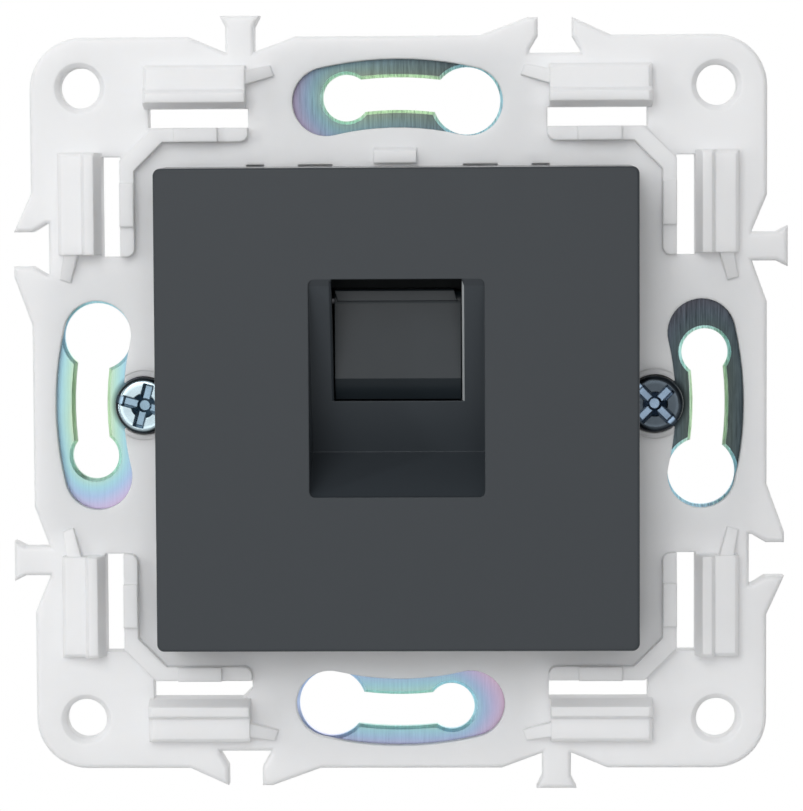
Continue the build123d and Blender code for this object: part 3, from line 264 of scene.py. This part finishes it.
class Graph:
    """A node tree and short calls for what is linked in it."""

    def __init__(self, tree):
        self.nodes = tree.nodes
        self.links = tree.links

    def node(self, kind, **settings):
        made = self.nodes.new(kind)
        for key, value in settings.items():
            setattr(made, key, value)
        return made

    def plug(self, target, value):
        """A link where value is a socket, a constant where it is a number or a colour."""
        if isinstance(value, bpy.types.NodeSocket):
            self.links.new(value, target)
        else:
            target.default_value = value

    def calc(self, operation, first, second=0.0):
        made = self.node("ShaderNodeMath", operation=operation)
        self.plug(made.inputs[0], first)
        self.plug(made.inputs[1], second)
        return made.outputs[0]

    def add(self, first, second):
        return self.calc("ADD", first, second)

    def less(self, first, second):
        """The first without the second."""
        return self.calc("SUBTRACT", first, second)

    def times(self, first, second):
        return self.calc("MULTIPLY", first, second)

    def most(self, first, second):
        """The larger of two values."""
        return self.calc("MAXIMUM", first, second)

    def length(self, first, second):
        """Length of a line with two parts at right angles."""
        return self.calc("SQRT", self.add(self.times(first, first), self.times(second, second)))

    def near(self, value, place, reach):
        """1 where a value is within reach of a place, else 0."""
        return self.calc("LESS_THAN", self.calc("ABSOLUTE", self.less(value, place)), reach)

    def spread(self, value, low, high, new_low, new_high):
        """Linear map of a value from one range to another, held at the ends."""
        made = self.node("ShaderNodeMapRange")
        self.plug(made.inputs["Value"], value)
        for key, number in (("From Min", low), ("From Max", high), ("To Min", new_low), ("To Max", new_high)):
            made.inputs[key].default_value = number
        return made.outputs["Result"]

    def split(self, vector):
        """The three parts of a vector."""
        made = self.node("ShaderNodeSeparateXYZ")
        self.links.new(vector, made.inputs[0])
        return tuple(made.outputs)


class Shader(Graph):
    """A node material with a Principled BSDF and short calls for what feeds it."""

    def __init__(self, name):
        self.material = bpy.data.materials.new(name)
        self.material.use_nodes = True
        super().__init__(self.material.node_tree)
        self.bsdf = self.nodes["Principled BSDF"]
        self.coords = self.node("ShaderNodeTexCoord").outputs["Object"]

    def set(self, **sockets):
        """Constants on the shader's own sockets; underscores stand for spaces."""
        for key, value in sockets.items():
            self.bsdf.inputs[key.replace("_", " ")].default_value = value

    def feed(self, socket, output):
        self.links.new(output, self.bsdf.inputs[socket])

    def fed(self, socket):
        """What feeds a socket of the shader now."""
        return self.bsdf.inputs[socket].links[0].from_socket

    def stretched(self, scale):
        """Object coordinates stretched by three factors."""
        made = self.node("ShaderNodeMapping")
        self.links.new(self.coords, made.inputs["Vector"])
        made.inputs["Scale"].default_value = scale
        return made.outputs["Vector"]

    def noise(self, scale, detail, rough, vector=None):
        made = self.node("ShaderNodeTexNoise")
        made.inputs["Scale"].default_value = scale
        made.inputs["Detail"].default_value = detail
        made.inputs["Roughness"].default_value = rough
        self.links.new(vector or self.coords, made.inputs["Vector"])
        return made.outputs["Fac"]

    def by_noise(self, noise, low, high):
        """A value that a noise moves between two levels."""
        return self.spread(noise, NOISE_LOW, NOISE_HIGH, low, high)

    def ramp(self, factor, *stops):
        """Colour ramp; each stop is a place and a colour. A new stop starts halfway and is then placed."""
        made = self.node("ShaderNodeValToRGB")
        elements = made.color_ramp.elements
        while len(elements) < len(stops):
            elements.new(0.5)
        for element, (place, colour) in zip(elements, stops):
            element.position = place
            element.color = (*colour, 1.0)
        self.plug(made.inputs["Fac"], factor)
        return made.outputs["Color"]

    def tint(self, colour, factor):
        """A colour made lighter or darker by a factor."""
        made = self.node("ShaderNodeVectorMath", operation="SCALE")
        self.plug(made.inputs[0], colour)
        self.plug(made.inputs["Scale"], factor)
        return made.outputs["Vector"]

    def mix(self, factor, first, second):
        """Second colour laid over the first."""
        made = self.node("ShaderNodeMix", data_type="RGBA")
        self.plug(made.inputs[MIX_FACTOR], factor)
        self.plug(made.inputs[MIX_FIRST], first)
        self.plug(made.inputs[MIX_SECOND], second)
        return made.outputs[MIX_RESULT]

    def normal(self):
        """The three parts of the surface's direction."""
        return self.split(self.node("ShaderNodeNewGeometry").outputs["Normal"])

    def facing(self):
        """How far the surface faces straight along the depth, from 0 to 1."""
        return self.calc("ABSOLUTE", self.normal()[1])

    def bump(self, height, distance, strength, normal=None):
        """Normals that a height moves by a distance; they start from a normal of their own if given."""
        made = self.node("ShaderNodeBump")
        made.inputs["Distance"].default_value = distance
        made.inputs["Strength"].default_value = strength
        self.links.new(height, made.inputs["Height"])
        if normal is not None:
            self.links.new(normal, made.inputs["Normal"])
        return made.outputs["Normal"]

    def soft_edge(self, radius):
        """Normals that round the edges by a radius."""
        made = self.node("ShaderNodeBevel", samples=BEVEL_SAMPLES)
        made.inputs["Radius"].default_value = radius
        return made.outputs["Normal"]


def moulded(name, colour, rough, grain, depth, shade=0.04, edge=0.12 * MM, vary=0.05):
    """Moulded plastic: fine grain, slight cloudiness and rounded edges."""
    shader = Shader(name)
    cloud = shader.noise(*CLOUD_NOISE)
    shader.feed("Base Color", shader.tint(colour, shader.by_noise(cloud, 1 - shade, 1 + shade)))
    patches = shader.noise(grain / PATCH_FACTOR, *PATCH_DETAIL)
    shader.feed("Roughness", shader.by_noise(patches, rough - vary, rough + vary))
    fine = shader.noise(grain, *GRAIN_DETAIL)
    shader.feed("Normal", shader.bump(fine, depth, 1.0, shader.soft_edge(edge)))
    return shader


def white_plastic():
    """Frame: bright satin plastic that lets light through its skin, with a faint flow pattern."""
    shader = moulded("white_plastic_look", WHITE, rough=0.42, grain=2600.0, depth=0.003 * MM,
                     shade=0.010, edge=0.22 * MM)
    shader.set(Subsurface_Weight=0.6, Subsurface_Scale=3.0 * MM, Subsurface_Radius=(1.0, 0.95, 0.9))
    shader.set(Specular_IOR_Level=0.5)
    return shader.material


def window_glint(shader, port, x):
    """Where the painted glint goes: 1 on the bevel at the right of the port's window, else 0."""
    edge = shader.times(port, shader.near(x, EDGE_PLACE, EDGE_HALF))
    return shader.times(edge, shader.calc("LESS_THAN", shader.normal()[0], EDGE_TURN))


def anthracite_plastic():
    """Cover: dark grey with a very fine spark-eroded grain, painted light inside the port, and a painted glint
    on the bevel at the window's right.
    """
    shader = moulded("anthracite_plastic_look", ANTHRACITE, rough=0.48, grain=5200.0, depth=0.005 * MM,
                     shade=0.015, edge=0.15 * MM)
    shader.set(Specular_IOR_Level=0.30)
    shader.feed("Roughness", shader.spread(shader.facing(), *COVER_ROUGH))
    x, y, z = shader.split(shader.coords)
    port = shader.times(shader.near(x, 0.0, PORT_HALF), shader.near(z, PORT_MIDDLE, PORT_REACH))
    port = shader.times(port, shader.calc("GREATER_THAN", y, PORT_MOUTH))
    # Painted light: the cover's colour is lifted inside the port
    plain = shader.tint(shader.fed("Base Color"), shader.spread(port, *PORT_PAINTED_LIGHT))
    # Painted glint: a pale colour on the bevel at the window's right stands in for a highlight
    shader.feed("Base Color", shader.mix(window_glint(shader, port, x), plain, GLINT_COLOUR))
    return shader.material


def shutter_plastic():
    """Flap: a darker grey than the cover with a smoother skin."""
    shader = moulded("shutter_plastic_look", SHUTTER, rough=0.42, grain=3200.0, depth=0.001 * MM,
                     shade=0.005, edge=0.10 * MM, vary=0.01)
    shader.set(Specular_IOR_Level=0.32)
    return shader.material


def chamber_plastic():
    """Chamber behind the port: nearly black and dull."""
    shader = moulded("chamber_look", CHAMBER, rough=0.7, grain=3000.0, depth=0.006 * MM)
    shader.set(Specular_IOR_Level=0.10)
    return shader.material


def satin_plastic(name, colour, rough, shade=0.04):
    """Plain satin plastic of the pieces at the back."""
    return moulded(name, colour, rough, grain=2400.0, depth=0.005 * MM, shade=shade).material


def keyhole_distance(shader, x, z):
    """Distance in millimetres from the edge of the nearest keyhole."""
    turn = shader.calc("DIVIDE", shader.calc("ARCTAN2", x, z), math.pi / 2)
    along = shader.times(shader.less(turn, shader.calc("ROUND", turn)), SCREW_CIRCLE * math.pi / 2)
    beyond = shader.less(along, KEY_END)
    before = shader.less(shader.times(along, -1.0), KEY_START)
    overshoot = shader.most(shader.most(beyond, before), 0.0)
    across = shader.less(shader.length(x, z), SCREW_CIRCLE)
    edge = shader.less(shader.length(overshoot, across), KEY_HALF)
    return shader.calc("DIVIDE", edge, MM)


def film_colour(shader, distance, z):
    """Rainbow colours by the distance from a keyhole, shifted by noise and by height."""
    drift = shader.by_noise(shader.noise(*FILM_NOISE), *FILM_WANDER)
    drift = shader.add(drift, shader.spread(z, *FILM_BOTTOM))
    drift = shader.add(drift, shader.spread(z, *FILM_TOP))
    phase = shader.spread(shader.add(distance, drift), *FILM_REACH)
    return shader.ramp(phase, *FILM_STOPS)


def painted_film_reflection(shader, x, z):
    """Painted reflection: level of the film by its place on the plate."""
    across = shader.times(shader.spread(x, *SIDE_ACROSS), shader.spread(z, *SIDE_BY_HEIGHT))
    side = shader.add(shader.add(across, shader.spread(z, *SIDE_UPRIGHT)), SIDE_MIDDLE)
    return shader.most(shader.calc("MINIMUM", side, SIDE_HIGH), SIDE_LOW)


def zinc_plate():
    """Zinc film in rainbow colours round the keyholes, with painted reflection that darkens it to the right and
    painted highlights on rolled edges, over a brushed sheet.
    """
    shader = Shader("zinc_plate_look")
    shader.set(Metallic=1.0, Anisotropic=0.35)
    x, _, z = shader.split(shader.coords)
    distance = keyhole_distance(shader, x, z)
    # Painted reflection: the film's level by place, darker to the upper right
    side = painted_film_reflection(shader, x, z)
    flat = shader.spread(shader.facing(), *FLAT_FACE)
    grey = shader.times(shader.spread(side, *GREY_SHARE), flat)
    silver = shader.spread(distance, *SILVER_SHARE)
    film = shader.mix(grey, film_colour(shader, distance, z), GREY_FILM)
    film = shader.mix(silver, film, SILVER_FILM)
    # Painted highlight: rolled edges, where the face turns, are lit up in the level
    level = shader.most(shader.most(side, shader.spread(flat, *ROLLED_HIGHLIGHT)), silver)
    level = shader.times(level, FILM_LEVEL)
    brush = shader.noise(*BRUSH_NOISE, shader.stretched(BRUSH_STRETCH))
    streak = shader.times(shader.by_noise(brush, -1.0, 1.0), shader.spread(side, *BRUSH_DEPTH))
    level = shader.times(level, shader.add(streak, 1.0))
    well = shader.length(shader.less(shader.calc("ABSOLUTE", x), SCREW_PLACE), z)
    level = shader.times(level, shader.spread(well, *WELL_SHADE))
    shader.feed("Base Color", shader.tint(film, level))
    shader.feed("Roughness", shader.spread(brush, *BRUSH_ROUGH))
    shader.feed("Normal", shader.bump(brush, *BRUSH_BUMP))
    return shader.material


def zinc_part():
    """Blue-silver zinc on turned or pressed steel parts."""
    shader = Shader("zinc_part_look")
    shader.set(Metallic=1.0)
    cloud = shader.noise(*ZINC_CLOUD)
    shader.feed("Base Color", shader.ramp(cloud, *ZINC_STOPS))
    shader.feed("Roughness", shader.by_noise(cloud, *ZINC_ROUGH))
    fine = shader.noise(*ZINC_GRAIN)
    shader.feed("Normal", shader.bump(fine, *ZINC_BUMP, shader.soft_edge(ZINC_EDGE)))
    return shader.material


def zinc_head(name, place, pads, recess):
    """Claw screw: a film with its own tones on pads and in the recess, a painted highlight ring near the edge
    and painted shade round the side of the head.
    """
    shader = Shader(name)
    shader.set(Metallic=1.0)
    x, y, z = shader.split(shader.coords)
    radius = shader.length(shader.less(x, place), z)
    cloud = shader.by_noise(shader.noise(*HEAD_NOISE), -HEAD_WANDER, HEAD_WANDER)
    depth = shader.add(shader.spread(y, *HEAD_DEPTH), cloud)
    film = shader.ramp(depth, (HEAD_PADS_END, pads), (HEAD_RECESS_START, recess))
    # Painted highlight ring and painted shade round the side of the head
    painted_rim = shader.ramp(shader.spread(radius, *HEAD_REACH), *HEAD_SHEEN_AND_SHADE)
    shader.feed("Base Color", shader.tint(film, shader.times(painted_rim, HEAD_LEVEL)))
    shader.feed("Roughness", shader.spread(cloud, *HEAD_ROUGH))
    fine = shader.noise(*HEAD_GRAIN)
    shader.feed("Normal", shader.bump(fine, *HEAD_BUMP, shader.soft_edge(HEAD_EDGE)))
    return shader.material


def bright_metal(name, colour, rough):
    """Plated or bright strip and wire, drawn along its length."""
    shader = Shader(name)
    shader.set(Metallic=1.0)
    drawn = shader.noise(*DRAWN_NOISE, shader.stretched(DRAWN_STRETCH))
    shader.feed("Base Color", shader.tint(colour, shader.by_noise(drawn, *DRAWN_TONE)))
    shader.feed("Roughness", shader.by_noise(drawn, rough - DRAWN_SMOOTHER, rough + DRAWN_ROUGHER))
    shader.feed("Normal", shader.bump(drawn, *DRAWN_BUMP))
    return shader.material


def board_lacquer():
    """Green board lacquer with the weave of the glass cloth showing through."""
    shader = Shader("board_look")
    shader.set(Roughness=0.32, Coat_Weight=0.4, Coat_Roughness=0.15)
    across = shader.noise(*WEAVE_NOISE, shader.stretched(WEAVE_ACROSS))
    upright = shader.noise(*WEAVE_NOISE, shader.stretched(WEAVE_UP))
    weave = shader.times(across, upright)
    shader.feed("Base Color", shader.ramp(weave, *BOARD_STOPS))
    shader.feed("Normal", shader.bump(weave, *BOARD_BUMP))
    return shader.material


def dress(material, *nodes):
    """Gives CAD nodes their finished material."""
    for name in nodes:
        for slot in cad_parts[name].material_slots:
            slot.material = material


def numbered(stem):
    """Names of the nodes of one kind, one for each wire of the cable."""
    return [f"{stem}_{number}" for number in range(1, WIRE_COUNT + 1)]


def dress_plastics():
    """Finishes of the plastic nodes and the board; returns the frame's white."""
    white = white_plastic()
    dress(white, "support_frame")
    dress(anthracite_plastic(), "front_cover")
    dress(shutter_plastic(), "shutter_flap")
    dress(chamber_plastic(), "shutter_housing")
    dress(satin_plastic("holder_look", HOLDER, rough=0.45, shade=0.02), "module_holder")
    dress(satin_plastic("jack_look", JACK, rough=0.38), "jack_housing", "contact_insert")
    dress(satin_plastic("terminal_look", TERMINAL, rough=0.42), "idc_block_left", "idc_block_right")
    dress(satin_plastic("cap_look", CAP, rough=0.40, shade=0.02), "wire_cap_left", "wire_cap_right")
    dress(board_lacquer(), "circuit_board")
    return white


def dress_metals():
    """Finishes of the metal nodes; returns the zinc of the small parts."""
    zinc = zinc_part()
    dress(zinc_plate(), "mounting_plate")
    # The two heads are lit and shaded copies of one zinc: painted light on the left, painted shade on the right
    dress(zinc_head("screw_left_look", -SCREW_PLACE, LEFT_PADS_LIT, LEFT_RECESS_LIT), "claw_screw_left")
    dress(zinc_head("screw_right_look", SCREW_PLACE, RIGHT_PADS_SHADED, RIGHT_RECESS_SHADED), "claw_screw_right")
    dress(zinc, "claw_nut_left", "claw_nut_right", "claw_left", "claw_right", "claw_pin_left", "claw_pin_right")
    dress(bright_metal("gold_look", GOLD, rough=0.22), *numbered("jack_contact"))
    dress(bright_metal("tin_look", TIN, rough=0.30), *numbered("idc_blade"))
    dress(bright_metal("spring_look", SPRING, rough=0.25), "shutter_spring")
    dress(bright_metal("pin_look", PIN, rough=0.40), "shutter_pin")
    return zinc


def swept(name, sections, body, material):
    """Closed solid through a row of sections with the same number of points."""
    mesh = bmesh.new()
    rings = [[mesh.verts.new(point) for point in section] for section in sections]
    for first, second in zip(rings, rings[1:]):
        count = len(first)
        for corner in range(count):
            after = (corner + 1) % count
            mesh.faces.new((first[corner], first[after], second[after], second[corner]))
    mesh.faces.new(rings[0])
    mesh.faces.new(rings[-1][::-1])
    bmesh.ops.recalc_face_normals(mesh, faces=mesh.faces)
    data = bpy.data.meshes.new(name)
    mesh.to_mesh(data)
    mesh.free()
    piece = bpy.data.objects.new(name, data)
    bpy.context.scene.collection.objects.link(piece)
    data.materials.append(material)
    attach(piece, body)
    return piece


def screw_ring(name, side, material):
    """Ring of the white frame round one claw screw, from the steel plate up to the frame's face."""
    sections = []
    for step in range(RING_STEPS + 1):
        angle = RING_START + 2 * (math.pi - RING_START) * step / RING_STEPS
        across, up = math.cos(angle), math.sin(angle)
        window = math.sqrt(WINDOW_INNER ** 2 - (SCREW_PLACE * up) ** 2) - SCREW_PLACE * across
        outer = min(RING_OUTER, window)
        corners = ((RING_INNER, RING_FRONT), (outer, RING_FRONT), (outer, RING_BACK), (RING_INNER, RING_BACK))
        sections.append([(side * (SCREW_PLACE + r * across), y, r * up) for r, y in corners])
    swept(name, sections, "base", material)


def thread(name, node, body, material):
    """Rolled thread on the shank of a claw screw: one ridge wound round it, fading in and out."""
    low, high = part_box(node)
    middle = (low + high) / 2
    turns = (high[1] - THREAD_MARGIN - THREAD_START) / THREAD_PITCH
    count = int(turns * THREAD_STEPS)
    sections = []
    for step in range(count + 1):
        angle = 2 * math.pi * step / THREAD_STEPS
        y = THREAD_START + THREAD_PITCH * step / THREAD_STEPS
        fade = min(1.0, step / THREAD_STEPS, (count - step) / THREAD_STEPS)
        section = []
        for shift, rise in THREAD_PROFILE:
            r = SHANK_RADIUS - THREAD_SINK + (THREAD_DEPTH + THREAD_SINK) * rise * fade
            across, up = r * math.cos(angle), r * math.sin(angle)
            section.append((middle[0] + across, y + shift * THREAD_PITCH, middle[2] + up))
        sections.append(section)
    piece = swept(name, sections, body, material)
    for face in piece.data.polygons:
        face.use_smooth = True


def light_the_set():
    """Large soft lamps: a wide one in front, a key above left, a fill below right, a strip left, one behind."""
    for name, place, size, power in LAMPS:
        data = bpy.data.lights.new(name, "AREA")
        data.shape = "RECTANGLE"
        data.size, data.size_y = size
        data.energy = power
        lamp = bpy.data.objects.new(name, data)
        lamp.location = place
        lamp.rotation_euler = (-Vector(place)).to_track_quat("-Z", "Y").to_euler()
        bpy.context.scene.collection.objects.link(lamp)


def white_surroundings():
    """White for the camera and through openings, brighter behind for gloss and for light."""
    world = bpy.data.worlds.new("studio")
    bpy.context.scene.world = world
    world.use_nodes = True
    graph = Graph(world.node_tree)
    rays = graph.node("ShaderNodeLightPath").outputs
    backward = graph.split(graph.node("ShaderNodeTexCoord").outputs["Generated"])[1]
    gloss = graph.times(rays["Is Glossy Ray"], graph.spread(backward, *WORLD_GLOSS))
    light = graph.times(rays["Is Diffuse Ray"], graph.spread(backward, *WORLD_LIGHT))
    seen = graph.most(rays["Is Camera Ray"], rays["Is Transmission Ray"])
    background = graph.nodes["Background"]
    background.inputs["Color"].default_value = (1, 1, 1, 1)
    graph.links.new(graph.most(graph.most(seen, gloss), light), background.inputs["Strength"])


def floor_look():
    """Pale floor near the part that turns into the white background further away."""
    shader = Shader("floor_look")
    shader.set(Roughness=0.9, Specular_IOR_Level=0.0, Emission_Color=(1, 1, 1, 1))
    reach = shader.node("ShaderNodeVectorMath", operation="LENGTH")
    shader.links.new(shader.coords, reach.inputs[0])
    away = shader.spread(reach.outputs["Value"], *FLOOR_FADE)
    shader.feed("Base Color", shader.ramp(away, *FLOOR_STOPS))
    rays = shader.node("ShaderNodeLightPath").outputs
    seen = shader.most(rays["Is Camera Ray"], rays["Is Glossy Ray"])
    seen = shader.most(seen, rays["Is Transmission Ray"])
    shader.feed("Emission Strength", shader.times(seen, shader.spread(away, *FLOOR_GLOW)))
    return shader.material


def white_floor():
    """Flat floor below the part that keeps its shadow."""
    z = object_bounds()[0][2] - FLOOR_DROP
    half = FLOOR_SIZE / 2
    data = bpy.data.meshes.new("floor")
    corners = [(-half, -half, z), (half, -half, z), (half, half, z), (-half, half, z)]
    data.from_pydata(corners, [], [(0, 1, 2, 3)])
    floor = bpy.data.objects.new("floor", data)
    bpy.context.scene.collection.objects.link(floor)
    data.materials.append(floor_look())


def place_camera():
    """Camera at the photograph's angle, with its small roll."""
    azimuth, elevation, roll = (math.radians(a) for a in (CAMERA_AZIMUTH, CAMERA_ELEVATION, CAMERA_ROLL))
    back = Vector((math.sin(azimuth) * math.cos(elevation), -math.cos(azimuth) * math.cos(elevation),
                   math.sin(elevation)))
    right = Vector((math.cos(azimuth), math.sin(azimuth), 0))
    up = back.cross(right)
    turned_right = right * math.cos(roll) + up * math.sin(roll)
    turned_up = up * math.cos(roll) - right * math.sin(roll)
    axes = Matrix((turned_right, turned_up, back)).transposed()
    data = bpy.data.cameras.new("camera")
    data.lens = CAMERA_LENS
    data.sensor_width = SENSOR
    data.clip_start = CLIP_NEAR
    data.clip_end = CLIP_FAR
    camera = bpy.data.objects.new("camera", data)
    camera.matrix_world = Matrix.Translation(CAMERA_TARGET + back * CAMERA_DISTANCE) @ axes.to_4x4()
    bpy.context.scene.collection.objects.link(camera)
    bpy.context.scene.camera = camera


place_camera()
white = dress_plastics()
zinc = dress_metals()
screw_ring("frame_ring_left", -1, white)
screw_ring("frame_ring_right", 1, white)
thread("claw_thread_left", "claw_screw_left", "screw_left", zinc)
thread("claw_thread_right", "claw_screw_right", "screw_right", zinc)
light_the_set()
white_surroundings()
white_floor()
bpy.context.scene.view_settings.view_transform = "Standard"
